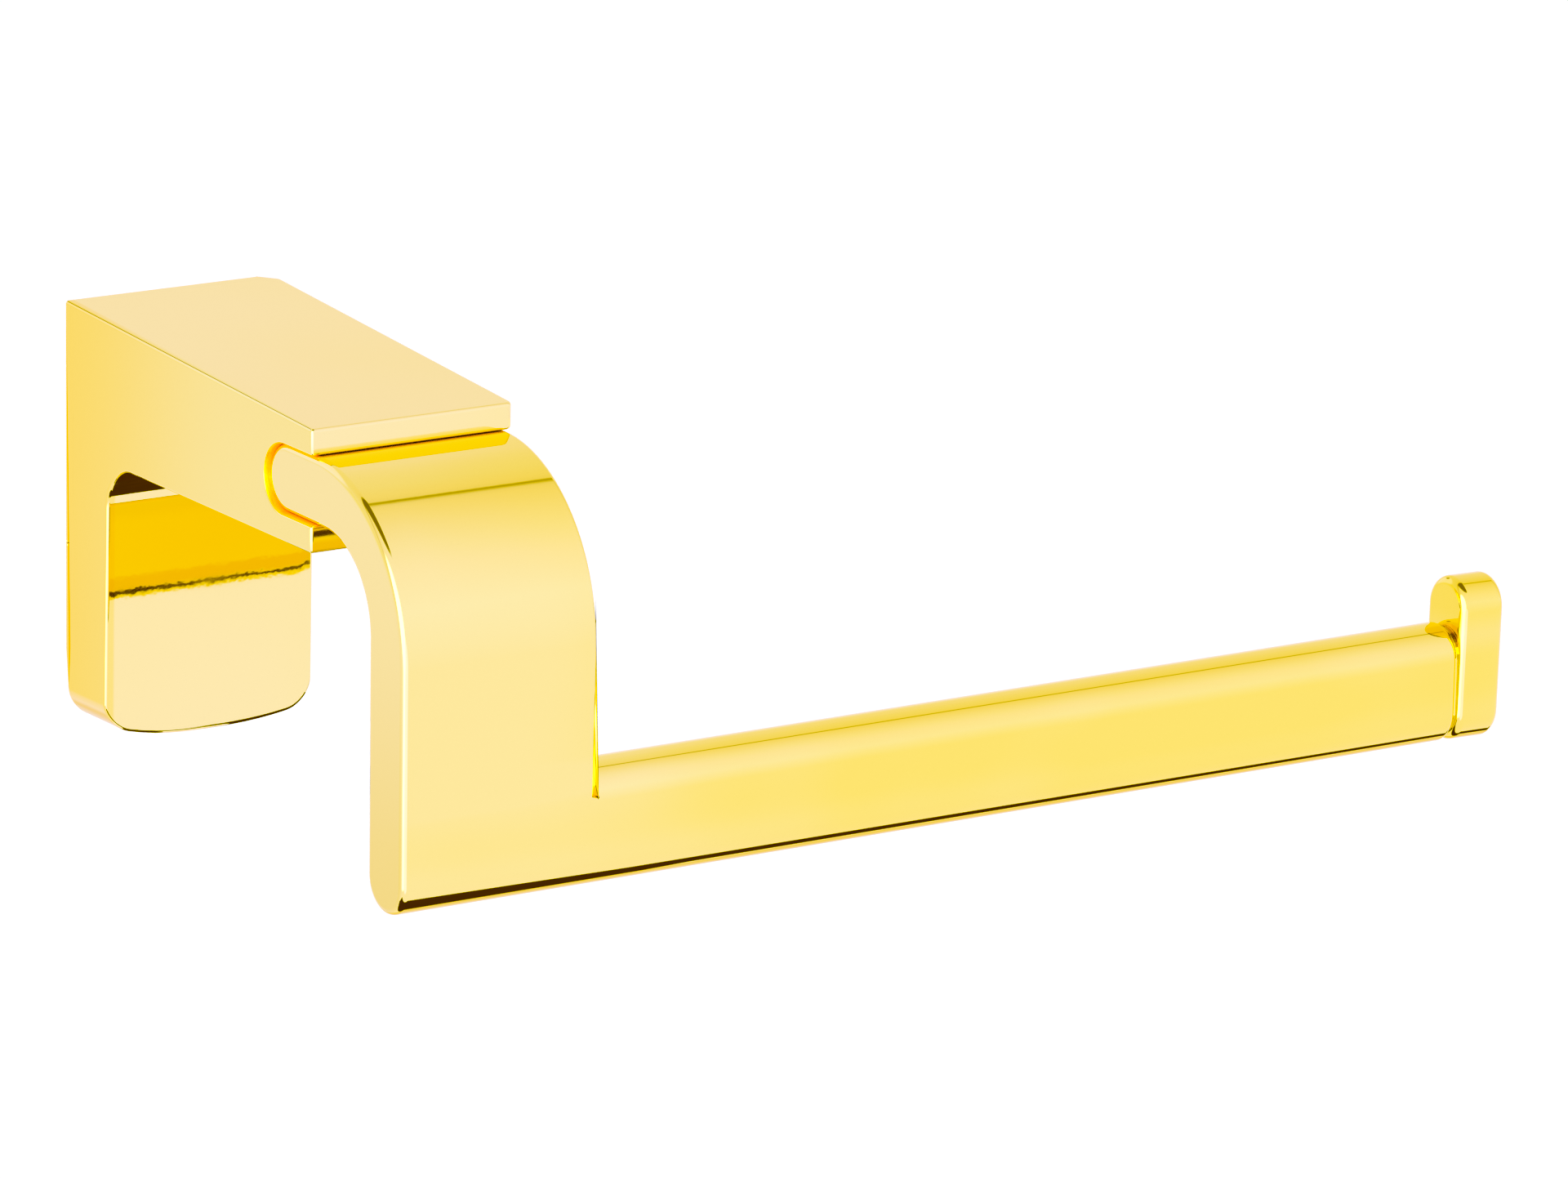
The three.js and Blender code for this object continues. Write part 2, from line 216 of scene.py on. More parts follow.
def finish_piece(bm, name, body, replaced):
    """Turns a bmesh into a smooth-shaded object that rides on a body of the frame."""
    for f in bm.faces:
        f.smooth = True
    mesh = bpy.data.meshes.new(name)
    bm.to_mesh(mesh)
    bm.free()
    piece = bpy.data.objects.new(name, mesh)
    bpy.context.scene.collection.objects.link(piece)
    piece.modifiers.new("flat_faces_stay_flat", "WEIGHTED_NORMAL")
    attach(piece, body)
    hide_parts(*replaced)
    size = [round(s / MM, 1) for s in piece.dimensions]
    print(f"{name}: {len(mesh.polygons)} faces, {size} mm")
    return piece


# %% [markdown]
# ## The cast bracket
#
# The bracket is one casting: a flange on the wall and an arm that reaches into the room, with
# a slot through its nose for the strap. Seen from the side it is a plain outline, so it is
# drawn once from the side and pulled across. These are its sizes, and the places that follow
# from them and from the frame.
#
# The foot's corners have a larger radius than the wall of the casting is thick. So the outline
# of the hollow back, which runs at that distance inside, still turns its corners without a fold.

# %% Bracket: sizes and places
bracket_low, bracket_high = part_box("wall_bracket")
arm_low, arm_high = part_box("holder_arm")

nose_narrowing = 0.75 * MM
flange_thickness = 10.7 * MM
arm_height_at_wall = 18 * MM
upper_lip_thickness = 3.25 * MM
foot_corner_radius = 3.4 * MM
underarm_radius = 5.5 * MM
strap_thickness = 8.2 * MM
strap_seat_depth = 10.75 * MM
seat_gap = 0.04 * MM

wall_side = bracket_high.y
nose = bracket_low.y
bracket_top = bracket_high.z
bracket_foot = bracket_low.z
half_width = bracket_high.x
half_nose_width = half_width - nose_narrowing
flange_front = wall_side - flange_thickness
arm_underside = bracket_top - arm_height_at_wall
strap_top = arm_high.z
strap_rear = nose + strap_seat_depth
slot_roof = strap_top + seat_gap
slot_floor = strap_top - strap_thickness - seat_gap
slot_rear = strap_rear + seat_gap
lip_top = slot_roof + upper_lip_thickness
print("bracket reaches into the room, mm:", round((wall_side - nose) / MM, 1))

# %% [markdown]
# The slot's rear, the corner under the arm and the two corners of the foot are rounded in the
# block, before the arm is narrowed towards its nose. The slot's walls are marked for a second
# material, because no polishing wheel gets in there. A hair, a hundredth of a millimetre,
# allows for rounding in the sums when faces are told apart by where they lie.

# %% Bracket: outline and arcs
HAIR = 0.01 * MM

bracket = block_along_x(
    [
        (wall_side, bracket_top),
        (nose, lip_top),
        (nose, slot_roof),
        (slot_rear, slot_roof),
        (slot_rear, slot_floor),
        (nose, slot_floor),
        (nose, arm_underside),
        (flange_front, arm_underside),
        (flange_front, bracket_foot),
        (wall_side, bracket_foot),
    ],
    -half_width, half_width,
)
slot_back_edges = edges_at(bracket, y=slot_rear, z=slot_roof)
slot_back_edges += edges_at(bracket, y=slot_rear, z=slot_floor)
round_edges(bracket, slot_back_edges, (slot_roof - slot_floor) / 2, steps=16)
for f in bracket.faces:
    in_slot = all(
        slot_floor - HAIR < v.co.z < slot_roof + HAIR and v.co.y < slot_rear + HAIR
        for v in f.verts
    )
    f.material_index = 1 if in_slot else 0
underarm_edge = edges_at(bracket, y=flange_front, z=arm_underside)
round_edges(bracket, underarm_edge, underarm_radius, steps=20)
for side in (-half_width, half_width):
    foot_corner = edges_at(bracket, x=side, z=bracket_foot)
    round_edges(bracket, foot_corner, foot_corner_radius, steps=16)
print("bracket outline:", len(bracket.faces), "faces")

# %% [markdown]
# The back is hollow, because a solid casting would be heavy and would sink as it cooled. A rim
# stays all round to meet the wall. The pocket takes the wall plate, a deeper well leads into
# the arm to the screws that hold the strap, and a ledge at the top hooks behind the plate.

# %% Bracket: pocket and well
casting_wall = 3 * MM
pocket_depth = 7.7 * MM
slot_bulkhead = 7.5 * MM
well_half_width = 10.5 * MM
well_half_height = 4.5 * MM

pocket_floor = wall_side - pocket_depth
well_end = slot_rear + slot_bulkhead
slot_middle = (slot_floor + slot_roof) / 2

back = faces_at(bracket, y=wall_side)
bmesh.ops.inset_region(bracket, faces=back, thickness=casting_wall, use_even_offset=True)
pull(bracket, back, (0, -pocket_depth, 0))

for place in (-well_half_width, well_half_width):
    cut_faces(bracket, faces_at(bracket, y=pocket_floor), x=place)
for place in (slot_middle - well_half_height, slot_middle + well_half_height):
    cut_faces(bracket, faces_at(bracket, y=pocket_floor), z=place)
well_mouth = [
    f for f in faces_at(bracket, y=pocket_floor)
    if abs(f.calc_center_median().x) < MM and abs(f.calc_center_median().z - slot_middle) < MM
]
pull(bracket, well_mouth, (0, well_end - pocket_floor, 0))
print("bracket with pocket and well:", len(bracket.faces), "faces")

# %% Bracket: hook
hook_half_width = 8 * MM
hook_thickness = 1.8 * MM
hook_drop = 4.8 * MM

ceiling = bracket_top - casting_wall
hook_front = wall_side - hook_thickness
for place in (-hook_half_width, hook_half_width):
    cut_faces(bracket, faces_at(bracket, z=ceiling), x=place)
cut_faces(bracket, faces_at(bracket, z=ceiling), y=hook_front)
hook_root = [
    f for f in faces_at(bracket, z=ceiling)
    if abs(f.calc_center_median().x) < MM and f.calc_center_median().y > hook_front
]
hook_tip = pull(bracket, hook_root, (0, 0, -hook_drop))
for vert in {v for f in hook_tip for v in f.verts}:
    if vert.co.y < wall_side - hook_thickness / 2:
        vert.co.z += hook_thickness
bmesh.ops.recalc_face_normals(bracket, faces=bracket.faces)
print("bracket with its hook:", len(bracket.faces), "faces")

# %% [markdown]
# A key reaches the set screw through a hole in the foot. A hole is made from two squares that
# face each other: each is cut out of its face, its sides are divided, an inner ring is snapped
# onto a circle, and the two rings are bridged.

# %% Bracket: key hole in the foot
screw_low, screw_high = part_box("set_screw")
screw_centre = (screw_low + screw_high) / 2
screw_radius = (screw_high.x - screw_low.x) / 2
key_hole_radius = screw_radius + 0.3 * MM
square_half = key_hole_radius + 0.4 * MM
first_inset = 0.1 * MM


def ring_in_face(bm, height):
    """Opens a round hole in a level face around the set screw and returns the hole's rim."""
    for offset in (-square_half, square_half):
        cut_faces(bm, faces_at(bm, z=height), x=screw_centre.x + offset)
        cut_faces(bm, faces_at(bm, z=height), y=screw_centre.y + offset)
    square = min(
        faces_at(bm, z=height),
        key=lambda f: (f.calc_center_median().xy - screw_centre.xy).length,
    )
    bmesh.ops.subdivide_edges(bm, edges=square.edges, cuts=7)
    bmesh.ops.inset_region(bm, faces=[square], thickness=first_inset)
    for vert in square.verts:
        spoke = (vert.co.xy - screw_centre.xy).normalized() * key_hole_radius
        vert.co.xy = screw_centre.xy + spoke
    rim = list(square.edges)
    bmesh.ops.delete(bm, geom=[square], context="FACES_ONLY")
    return rim


rims = ring_in_face(bracket, bracket_foot) + ring_in_face(bracket, bracket_foot + casting_wall)
bmesh.ops.bridge_loops(bracket, edges=rims)
bmesh.ops.recalc_face_normals(bracket, faces=bracket.faces)
print("bracket with its key hole:", len(bracket.faces), "faces")

# %% [markdown]
# Now come the small radii. Polishing eases the nose's right-hand corner and the right rear
# corner of the casting more than the rest, and leaves a radius of about 0.4 mm on every other
# edge outside. The rear corner's rounding ends a little above the foot, so that it doesn't run
# into the foot's own rounded corner.

# %% Bracket: eased edges
rear_radius = 2.6 * MM
nose_radius = 1.0 * MM
edge_radius = 0.42 * MM
rear_round_end = bracket_foot + 9 * MM

for faces in (faces_at(bracket, x=half_width), faces_at(bracket, y=wall_side)):
    cut_faces(bracket, faces, z=rear_round_end)
rear_corner = [
    e for e in edges_at(bracket, x=half_width, y=wall_side)
    if max(v.co.z for v in e.verts) > rear_round_end + MM
]
round_edges(bracket, rear_corner, rear_radius, steps=10)
round_edges(bracket, edges_at(bracket, x=half_width, y=nose), nose_radius, steps=6)


def on_outside(edge):
    """False for the edges of the pocket, the well, the hook and the key hole."""
    middle = (edge.verts[0].co + edge.verts[1].co) / 2
    inside = (
        abs(middle.x) < half_width - casting_wall + MM
        and bracket_foot + casting_wall - MM < middle.z < bracket_top - casting_wall + MM
        and middle.y > slot_rear + MM
    )
    near_key = (middle.xy - screw_centre.xy).length < 2 * key_hole_radius
    return not inside and not near_key


outer_edges = [e for e in sharp_edges(bracket) if on_outside(e)]
round_edges(bracket, outer_edges, edge_radius, steps=5)
print("bracket with eased edges:", len(bracket.faces), "faces")

# %% [markdown]
# The block has been square so far, so that all the cuts could be square too. Now it gets the
# shape of a real casting. The arm narrows towards the nose. The sides stand a little full, the
# left one spreads towards the wall and the foot, and both draw in where the foot meets the wall.
# The flange's front leans back as it goes down, and the foot bows: its middle drops and its
# corners rise, the left one more. A flat face can't bow, so the faces around the foot are first
# cut into columns.

# %% Bracket: casting draft and bow
foot_columns = 16
column_top = bracket_foot + casting_wall + 0.5 * MM
foot_drop = 0.74 * MM
left_bow = 2.3 * MM
right_bow = 1.5 * MM
bow_power = 2.5
bow_height = 8 * MM
bow_lost_at_wall = 0.35
foot_draft = 0.085
draft_height = 19 * MM
front_lean = 0.0125
lean_depth = 0.5 * MM
right_fullness = 0.55 * MM
left_fullness = 0.25 * MM
left_slope = 0.007
left_pivot = 14 * MM
back_flare = 0.4 * MM
flare_height = 30 * MM
nose_taper = 1 - half_nose_width / half_width


def share(value, start, end):
    """How far a value has gone from start to end, between 0 and 1."""
    return min(1, max(0, (value - start) / (end - start)))


for column in range(1, foot_columns):
    low_faces = [f for f in bracket.faces if min(v.co.z for v in f.verts) < column_top]
    cut_faces(bracket, low_faces, x=half_width * (2 * column / foot_columns - 1))

for vert in bracket.verts:
    place = vert.co.copy()
    across = place.x / half_width
    bowed = share(place.z, bracket_foot + bow_height, bracket_foot)
    drafted = share(place.z, bracket_foot + draft_height, bracket_foot)
    flared = share(place.z, bracket_top, bracket_top - flare_height)
    deep = share(place.y, flange_front, wall_side)
    bow = (right_bow if across > 0 else left_bow) * abs(across)**bow_power
    vert.co.z += (bow * (1 - bow_lost_at_wall * deep) - foot_drop) * bowed
    if place.y < flange_front + lean_depth:
        vert.co.y += front_lean * max(0, arm_underside - vert.co.z)
    vert.co.x *= 1 - nose_taper * (place.y / nose) - foot_draft * drafted * deep
    if across > 0:
        vert.co.x += right_fullness * across
    else:
        fullness = left_fullness + left_slope * (left_pivot - place.z)
        vert.co.x += (fullness + back_flare * deep * flared) * across
print("bracket with its columns:", len(bracket.faces), "faces")

# %% [markdown]
# The slot's rounded rim on the left is as satin as the slot's walls, so it joins their material.
# Its faces are the ones around the slot that don't look straight to the left.

# %% Bracket: rim of the slot
rim_reach = 0.3 * MM
rim_depth = 0.5 * MM
looks_left = 0.85

# With their material the rim also takes the walls' painted glow of bounced light at the left end.
for f in bracket.faces:
    centre = f.calc_center_median()
    in_rim = (
        centre.x < -half_nose_width + rim_depth and abs(f.normal.x) < looks_left
        and slot_floor - rim_reach < centre.z < slot_roof + rim_reach
        and nose + MM < centre.y < slot_rear + rim_reach
    )
    if in_rim:
        f.material_index = 1
bracket_piece = finish_piece(
    bracket, "polished_bracket", "fixed_holder", ["wall_bracket"]
)

# %% [markdown]
# ## The strap and bar
#
# One forging makes the flat strap, its quarter bend, the drop leg and the bar. The strap's side
# outline has six corners: two make the bend, and the other four make the full-round ends. The
# inside of the bend is marked for a duller finish, because a wheel hardly reaches it.

# %% Arm: strap, bend and leg
outer_bend_radius = 20.8 * MM
inner_bend_radius = 10.5 * MM
free_bar_length = 124.65 * MM
strap_width = 26.05 * MM

round_radius = strap_thickness / 2
arm_front = arm_low.y
arm_back = arm_front + strap_thickness
arm_foot = arm_low.z
strap_under = strap_top - strap_thickness
bar_end = arm_high.x
strap_side = bar_end - free_bar_length
strap_left = strap_side - strap_width

arm = block_along_x(
    [
        (strap_rear, strap_top),
        (arm_front, strap_top),
        (arm_front, arm_foot),
        (arm_back, arm_foot),
        (arm_back, strap_under),
        (strap_rear, strap_under),
    ],
    strap_left, strap_side,
)
round_edges(arm, edges_at(arm, y=arm_front, z=strap_top), outer_bend_radius, steps=40)
round_edges(arm, edges_at(arm, y=arm_back, z=strap_under), inner_bend_radius, steps=40)
bend_centre = Vector((arm_back + inner_bend_radius, strap_under - inner_bend_radius))
for f in arm.faces:
    in_bend = all(
        abs((v.co.yz - bend_centre).length - inner_bend_radius) < HAIR for v in f.verts
    )
    f.material_index = 1 if in_bend else 0
rear_edges = edges_at(arm, y=strap_rear, z=strap_top)
rear_edges += edges_at(arm, y=strap_rear, z=strap_under)
round_edges(arm, rear_edges, round_radius, steps=16)
foot_edges = edges_at(arm, y=arm_front, z=arm_foot) + edges_at(arm, y=arm_back, z=arm_foot)
round_edges(arm, foot_edges, round_radius, steps=16)
print("strap:", len(arm.faces), "faces")

# %% [markdown]
# The bar grows out of the leg's right side. The leg is cut across at the height where the bar's
# round top begins, and that cut is lifted into a half circle on this side. The face below it
# then has the bar's own outline, and is pulled out to the bar's length.

# %% Arm: the bar
bar_height = 15 * MM
arch_steps = 32
barely_bent = math.radians(0.2)

bar_spring = arm_foot + bar_height - round_radius
bar_centre_y = arm_front + round_radius
cut_faces(arm, list(arm.faces), z=bar_spring)
springing = edges_at(arm, x=strap_side, z=bar_spring)
arch = bmesh.ops.subdivide_edges(arm, edges=springing, cuts=arch_steps - 1)["geom_inner"]
arch_verts = sorted(verts_in(arch), key=lambda v: v.co.y)
for step, vert in enumerate(arch_verts, start=1):
    turn = math.pi * step / arch_steps
    vert.co.y = bar_centre_y - round_radius * math.cos(turn)
    vert.co.z = bar_spring + round_radius * math.sin(turn)
bar_root = min(faces_at(arm, x=strap_side), key=lambda f: f.calc_center_median().z)
pull(arm, [bar_root], (bar_end - strap_side, 0, 0))
bmesh.ops.dissolve_limit(arm, angle_limit=barely_bent, verts=arm.verts, edges=arm.edges)
bmesh.ops.recalc_face_normals(arm, faces=arm.faces)
print("strap and bar:", len(arm.faces), "faces")

# %% Arm: eased edges
bar_end_radius = 1.1 * MM
left_rim_radius = 0.9 * MM
arm_edge_radius = 0.6 * MM

round_edges(arm, edges_at(arm, x=bar_end), bar_end_radius, steps=8)
left_rim = [e for e in sharp_edges(arm) if lies_at(e, {"x": strap_left})]
round_edges(arm, left_rim, left_rim_radius, steps=8)
round_edges(arm, sharp_edges(arm), arm_edge_radius, steps=6)
arm_piece = finish_piece(arm, "polished_arm", "fixed_holder", ["holder_arm"])

# %% [markdown]
# ## The end stop
#
# The stop is a short length of the same full-round section, taller than the bar so that the
# roll can't slide off, with soft edges that meet the bar in a small V-shaped seam. It leans
# outwards by about a degree, as hand-fitted stops do.

# %% End stop
stop_lean = math.radians(1.2)
stop_depth = 7.8 * MM
stop_thickness = 6.4 * MM
stop_rise = 5.75 * MM
stop_gap = 0.12 * MM
stop_edge_radius = 1.1 * MM

stop_inner = bar_end + stop_gap
bar_top = arm_foot + bar_height
stop = block_along_x(
    rectangle(arm_front, arm_front + stop_depth, arm_foot, bar_top + stop_rise),
    stop_inner, stop_inner + stop_thickness,
)
round_edges(stop, edges_along_x(stop), stop_depth / 2, steps=20)
round_edges(stop, sharp_edges(stop), stop_edge_radius, steps=8)
bmesh.ops.rotate(
    stop, cent=(stop_inner, 0, arm_foot), matrix=Matrix.Rotation(stop_lean, 3, "Y"),
    verts=stop.verts,
)
stop_piece = finish_piece(stop, "polished_stop", "fixed_holder", ["end_stop"])

# %% [markdown]
# A collar just under the surface bridges the seam, so that one never looks in between the two.

# %% Collar
collar_inset = 0.55 * MM
collar_reach = 1.5 * MM

collar = block_along_x(
    rectangle(
        arm_front + collar_inset, arm_back - collar_inset,
        arm_foot + collar_inset, bar_top - collar_inset,
    ),
    bar_end - collar_reach, stop_inner + collar_reach,
)
round_edges(collar, edges_along_x(collar), round_radius - collar_inset, steps=16)
collar_piece = finish_piece(
    collar, "polished_collar", "fixed_holder", ["end_stop"]
)

# %% [markdown]
# ## The set screw
#
# A socket with six flats takes the key and a cone bears on the wall plate. The screw is spun
# from a profile that runs up the thread. The thread is drawn as rings, not as a helix: at 0.7 mm
# a turn nobody can see the difference, and the rings stay closed by themselves.

# %% Set screw: thread and cone
thread_pitch = 0.7 * MM
thread_depth = 0.3 * MM
socket_across_flats = 2 * MM
mouth_ring = 0.25 * MM
spin_steps = 36

socket_corner = socket_across_flats / math.sqrt(3)
root_radius = screw_radius - thread_depth
cone_start = screw_high.z - screw_radius
turns = int((cone_start - screw_low.z) / thread_pitch) - 1
profile = [(socket_corner + mouth_ring, screw_low.z), (root_radius, screw_low.z)]
for turn in range(turns):
    root = screw_low.z + (turn + 0.5) * thread_pitch
    profile.append((root_radius, root))
    profile.append((screw_radius, root + 0.4 * thread_pitch))
    profile.append((screw_radius, root + 0.6 * thread_pitch))
profile.append((root_radius, cone_start))
profile.append((0, screw_high.z - thread_depth))

screw = bmesh.new()
profile_verts = [screw.verts.new((screw_centre.x + r, screw_centre.y, z)) for r, z in profile]
profile_edges = [screw.edges.new(pair) for pair in zip(profile_verts, profile_verts[1:])]
bmesh.ops.spin(
    screw, geom=profile_edges, cent=(screw_centre.x, screw_centre.y, 0), axis=(0, 0, 1),
    angle=2 * math.pi, steps=spin_steps, use_merge=True,
)
bmesh.ops.remove_doubles(screw, verts=screw.verts, dist=WELD)
print("screw with", turns, "turns of thread:", len(screw.faces), "faces")

# %% Set screw: key socket
socket_depth = 2.4 * MM
socket_chamfer = 0.2 * MM

mouth = [e for e in screw.edges if e.is_boundary]
chamfer = bmesh.ops.extrude_edge_only(screw, edges=mouth)["geom"]
for vert in verts_in(chamfer):
    spoke = vert.co.xy - screw_centre.xy
    turn = math.atan2(spoke.y, spoke.x)
    off_flat = (turn + math.pi / 6) % (math.pi / 3) - math.pi / 6
    reach = socket_across_flats / 2 / math.cos(off_flat)
    vert.co.xy = screw_centre.xy + spoke.normalized() * reach
    vert.co.z += socket_chamfer
flats = bmesh.ops.extrude_edge_only(screw, edges=edges_in(chamfer))["geom"]
upwards = (0, 0, socket_depth - socket_chamfer)
bmesh.ops.translate(screw, vec=upwards, verts=verts_in(flats))
bmesh.ops.contextual_create(screw, geom=edges_in(flats))
bmesh.ops.recalc_face_normals(screw, faces=screw.faces)
screw_piece = finish_piece(
    screw, "threaded_set_screw", "backing_out_screw", ["set_screw"]
)

# %% [markdown]
# ## Helpers for materials
#
# Colours are picked as the hex values that a screen shows. A renderer adds light, so it needs
# them on a linear scale, and one function does that. Another adds a node with its settings,
# its fixed values and the sockets that feed it. Most finishes here are metals, whose surface is
# told apart only by its colour, its polish and its bumps, so a third one makes that surface.

# %% Material helpers
COLOURS = {"data_type": "RGBA"}
SMOOTH = {"interpolation_type": "SMOOTHSTEP"}


def linear(hex_colour):
    """An sRGB hex value as the linear RGBA that shaders work in."""
    channels = [int(hex_colour[i:i + 2], 16) / 255 for i in (1, 3, 5)]
    lit = [c / 12.92 if c <= 0.04045 else ((c + 0.055) / 1.055) ** 2.4 for c in channels]
    return (*lit, 1)


def add_node(tree, kind, settings=None, values=None, links=None):
    """Adds a node: settings are its own options, values its sockets, links what feeds them."""
    node = tree.nodes.new(kind)
    for name, setting in (settings or {}).items():
        setattr(node, name, setting)
    for socket, value in (values or {}).items():
        node.inputs[socket].default_value = value
    for socket, source in (links or {}).items():
        tree.links.new(source, node.inputs[socket])
    return node


def new_material(name):
    material = bpy.data.materials.new(name)
    material.use_nodes = True
    material.node_tree.nodes.clear()
    return material, material.node_tree


def metal(tree, colour, roughness, normal, glow=None, glow_strength=None):
    """Gives a material the surface of a metal, with a glow of its own if one is given."""
    values = {"Metallic": 1.0}
    links = {"Base Color": colour, "Roughness": roughness, "Normal": normal}
    if glow is not None:
        values["Emission Color"] = linear(glow)
        links["Emission Strength"] = glow_strength
    shader = add_node(tree, "ShaderNodeBsdfPrincipled", values=values, links=links)
    add_node(tree, "ShaderNodeOutputMaterial", links={"Surface": shader.outputs["BSDF"]})


# %% [markdown]
# ## Mirror-polished gold plating
#
# The pieces are polished before they are plated, so their finish is that of the metal
# underneath: nearly a mirror, with a slow waviness from the buffing wheel, a fine orange peel
# and a little haze. Being a metal, gold has no colour but its reflection, so the base colour
# does all the work, and a second reflection looks much deeper than the first.
#
# Painted light runs along each piece: its tone goes from pale to deep along the bar, with soft
# patches of random tone on the way, and its left side has a painted light gradient of its own,
# a pair of tones that change along the depth or the height. One function makes the gold of the
# casting and that of the forging.

# %% Gold
patch_size = 30 * MM
patch_contrast = 1.4
side_blend = 0.4 * MM
haze_size = 9 * MM
haze_range = (0.35, 0.75)
wave_length = 14 * MM
wave_depth = 0.008 * MM
peel_size = 1.0 * MM


def level_stripe(tree, height_socket, height, reach):
    """1 at a height, and smoothly down to 0 within a reach above and below it."""
    rise, fall = (
        add_node(
            tree, "ShaderNodeMapRange", SMOOTH,
            {"From Min": edge, "From Max": height}, {"Value": height_socket},
        ).outputs["Result"]
        for edge in (height - reach, height + reach)
    )
    stripe = add_node(
        tree, "ShaderNodeMath", {"operation": "MULTIPLY"}, links={0: rise, 1: fall}
    )
    return stripe.outputs[0]


def gold_tone_and_painted_light(tree, place, axes, pale, deep, stretch, painted_reflection_bands):
    """Painted light from pale to deep along X over a stretch, random soft patches, painted
    stripes.
    """
    # Painted light: the tone drifts from pale to deep along X.
    along = add_node(
        tree, "ShaderNodeMapRange", SMOOTH,
        {"From Min": stretch[0], "From Max": stretch[1]}, {"Value": axes["X"]},
    )
    patches = add_node(
        tree, "ShaderNodeTexNoise",
        values={"Scale": 1 / patch_size, "Detail": 1.0, "Roughness": 0.4},
        links={"Vector": place},
    )
    centred = add_node(
        tree, "ShaderNodeMath", {"operation": "SUBTRACT"}, {1: 0.5}, {0: patches.outputs["Fac"]}
    )
    parts = [(centred.outputs[0], patch_contrast)]
    # Painted reflections: soft level stripes, paler or deeper, at given heights.
    for height, reach, deeper in painted_reflection_bands:
        parts.append((level_stripe(tree, axes["Z"], height, reach), deeper))
    tone = along.outputs["Result"]
    for part, strength in parts:
        tone = add_node(
            tree, "ShaderNodeMath", {"operation": "MULTIPLY_ADD", "use_clamp": True},
            {1: strength}, {0: part, 2: tone},
        ).outputs[0]
    return add_node(
        tree, "ShaderNodeMix", COLOURS, {"A": linear(pale), "B": linear(deep)}, {"Factor": tone}
    ).outputs["Result"]


def gold_plating(
    name, pale, deep, stretch, side, side_start, peel_depth, polish=(0.02, 0.05), painted_reflection_bands=()
):
    """Polished gold plating: painted light in tones along X over a stretch, and on the side facing
    -X.

    The side is (pale, deep, axis, where it is pale, where it is deep), polish is the range of
    roughness, and the last one lists (height, reach, how much deeper) for painted reflection
    stripes.
    """
    material, tree = new_material(name)
    place = add_node(tree, "ShaderNodeTexCoord").outputs["Object"]
    axes = add_node(tree, "ShaderNodeSeparateXYZ", links={"Vector": place}).outputs
    front = gold_tone_and_painted_light(tree, place, axes, pale, deep, stretch, painted_reflection_bands)

    # The left side's painted light gradient, a pair of tones of its own.
    side_pale, side_deep, side_axis, pale_at, deep_at = side
    along_side = add_node(
        tree, "ShaderNodeMapRange", SMOOTH,
        {"From Min": pale_at, "From Max": deep_at}, {"Value": axes[side_axis]},
    )
    side_painted_light = add_node(
        tree, "ShaderNodeMix", COLOURS, {"A": linear(side_pale), "B": linear(side_deep)},
        {"Factor": along_side.outputs["Result"]},
    )
    on_side = add_node(
        tree, "ShaderNodeMapRange", SMOOTH,
        {"From Min": side_start, "From Max": side_start - side_blend}, {"Value": axes["X"]},
    )
    colour = add_node(
        tree, "ShaderNodeMix", COLOURS,
        links={
            "Factor": on_side.outputs["Result"],
            "A": front,
            "B": side_painted_light.outputs["Result"],
        },
    )

    # Smears of buffing haze, a little rougher than the rest.
    haze = add_node(
        tree, "ShaderNodeTexNoise",
        values={"Scale": 1 / haze_size, "Detail": 3.0, "Roughness": 0.6},
        links={"Vector": place},
    )
    roughness = add_node(
        tree, "ShaderNodeMapRange",
        values={
            "From Min": haze_range[0], "From Max": haze_range[1],
            "To Min": polish[0], "To Max": polish[1],
        },
        links={"Value": haze.outputs["Fac"]},
    )

    # The wheel's waves, with the orange peel on top.
    waves = add_node(
        tree, "ShaderNodeTexNoise",
        values={"Scale": 1 / wave_length, "Detail": 0.0}, links={"Vector": place},
    )
    wavy = add_node(
        tree, "ShaderNodeBump", values={"Strength": 1.0, "Distance": wave_depth},
        links={"Height": waves.outputs["Fac"]},
    )
    peel = add_node(
        tree, "ShaderNodeTexNoise",
        values={"Scale": 1 / peel_size, "Detail": 1.0}, links={"Vector": place},
    )
    peeled = add_node(
        tree, "ShaderNodeBump", values={"Strength": 1.0, "Distance": peel_depth},
        links={"Height": peel.outputs["Fac"], "Normal": wavy.outputs["Normal"]},
    )
    metal(
        tree, colour.outputs["Result"], roughness.outputs["Result"], peeled.outputs["Normal"]
    )
    return material


# %% [markdown]
# The casting's painted tone hardly changes over its width. The forging's painted tone drifts
# further, with soft level stripes of painted reflection along the bar: two paler ones and a
# deeper one between them. Inside its bend the same gold is a little duller.

# %% Gold on the pieces
side_margin = 0.3 * MM

# Painted light in the casting's gold: a drift along X and a gradient on its left side.
cast_gold = gold_plating(
    "gold_plated_casting", pale="#FEE798", deep="#FEE68F", stretch=(-60 * MM, 80 * MM),
    side=("#FCE892", "#FEDD7D", "Y", -45 * MM, 8 * MM),
    side_start=side_margin - half_nose_width, peel_depth=0.0018 * MM,
)
